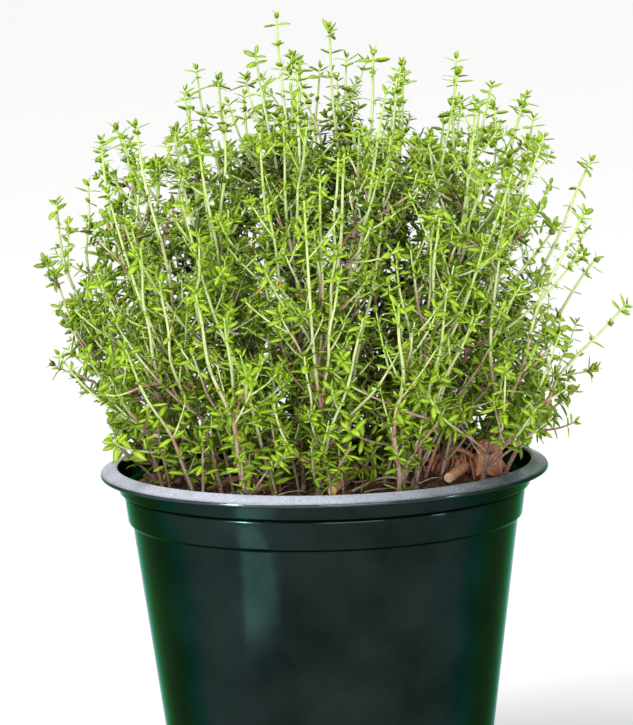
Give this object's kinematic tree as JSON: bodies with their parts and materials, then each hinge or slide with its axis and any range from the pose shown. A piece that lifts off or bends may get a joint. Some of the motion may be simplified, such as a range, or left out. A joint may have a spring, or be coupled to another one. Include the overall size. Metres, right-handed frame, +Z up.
{
  "type": "potted thyme plant",
  "caption": "Bushy potted thyme: slim woody stems and pale young shoots with small paired leaves, in soil in a round tapered dark plastic nursery pot with an outward lip.",
  "frame": {"origin": "centre of the pot's flat underside", "axes": "+Z up, -Y towards the front of the plant as pictured, +X to the right"},
  "size_m": [0.2268, 0.1937, 0.3075],
  "materials": {
    "pot_plastic": "thin moulded plastic, near black with a green cast, glossy wall and scuffed satin lip",
    "potting_soil": "dark brown peat and bark potting mix, crumbly and matt",
    "cut_wood": "orange-brown twig wood with pale cut ends",
    "bark": "reddish brown fibrous bark",
    "thyme_wood": "purple-brown woody stems with dark green, slightly glossy leaves",
    "thyme_shoot": "pale yellow-green young stems with fresh green leaves"
  },
  "bodies": {
    "root": {"pot": "pot_plastic", "soil": "potting_soil", "cut_twig": "cut_wood", "orange_stick": "cut_wood", "bark_slab_1": "bark", "bark_slab_2": "bark", "wood_01": "thyme_wood", "wood_02": "thyme_wood", "wood_03": "thyme_wood", "wood_04": "thyme_wood", "wood_05": "thyme_wood", "wood_06": "thyme_wood", "wood_07": "thyme_wood", "wood_08": "thyme_wood", "wood_09": "thyme_wood", "wood_10": "thyme_wood", "wood_11": "thyme_wood", "wood_12": "thyme_wood", "wood_13": "thyme_wood", "wood_14": "thyme_wood", "wood_15": "thyme_wood", "wood_16": "thyme_wood", "wood_17": "thyme_wood", "wood_18": "thyme_wood", "wood_19": "thyme_wood", "wood_20": "thyme_wood", "wood_21": "thyme_wood", "wood_22": "thyme_wood", "wood_23": "thyme_wood", "wood_24": "thyme_wood", "wood_25": "thyme_wood", "wood_26": "thyme_wood", "wood_27": "thyme_wood", "shoot_01": "thyme_shoot", "shoot_02": "thyme_shoot", "shoot_03": "thyme_shoot", "shoot_04": "thyme_shoot", "shoot_05": "thyme_shoot", "shoot_06": "thyme_shoot", "shoot_07": "thyme_shoot", "shoot_08": "thyme_shoot", "shoot_09": "thyme_shoot", "shoot_10": "thyme_shoot", "shoot_11": "thyme_shoot", "shoot_12": "thyme_shoot", "shoot_13": "thyme_shoot", "shoot_14": "thyme_shoot", "shoot_15": "thyme_shoot", "shoot_16": "thyme_shoot", "shoot_17": "thyme_shoot", "shoot_18": "thyme_shoot", "shoot_19": "thyme_shoot", "shoot_20": "thyme_shoot", "shoot_21": "thyme_shoot", "shoot_22": "thyme_shoot", "shoot_23": "thyme_shoot", "shoot_24": "thyme_shoot", "shoot_25": "thyme_shoot", "shoot_26": "thyme_shoot", "shoot_27": "thyme_shoot"}
  },
  "joints": []
}
